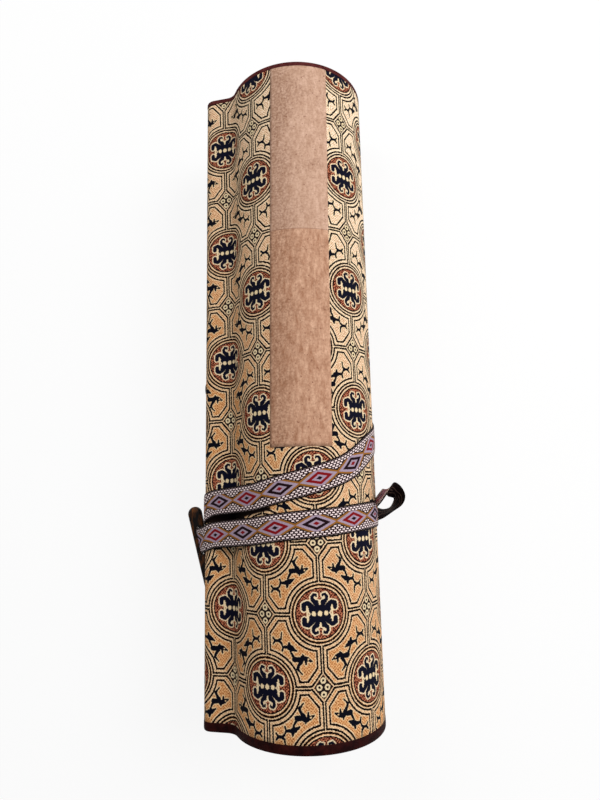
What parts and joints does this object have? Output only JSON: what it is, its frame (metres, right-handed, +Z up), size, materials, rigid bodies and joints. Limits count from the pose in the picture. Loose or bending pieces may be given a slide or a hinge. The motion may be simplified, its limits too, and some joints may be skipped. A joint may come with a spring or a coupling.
{
  "type": "rolled handscroll",
  "caption": "Rolled paper handscroll in a brocade cover with a staved flap, tied with a woven ribbon and peg, lying on its side.",
  "frame": {"origin": "centre of the small flat spot that the roll rests on, below the roll's axis and halfway along it", "axes": "+Y along the roll to its far end, +Z up through the side that carries the slip, +X to the side of the ribbon's loop"},
  "size_m": [0.1127, 0.33, 0.0729],
  "materials": {
    "scroll_paper": "matt layered paper",
    "roller_wood": "plain turned wood",
    "brocade": "gold ground brocade",
    "stave_wood": "plain wood",
    "binding_silk": "dark maroon silk",
    "slip_paper": "aged mottled paper",
    "woven_ribbon": "patterned woven ribbon",
    "peg_wood": "polished dark streaked wood"
  },
  "bodies": {
    "root": {"roll": "scroll_paper", "roller": "roller_wood", "cover": "brocade", "stave": "stave_wood", "top_binding": "binding_silk", "bottom_binding": "binding_silk", "title_slip": "slip_paper", "ribbon": "woven_ribbon", "peg": "peg_wood"}
  },
  "joints": []
}
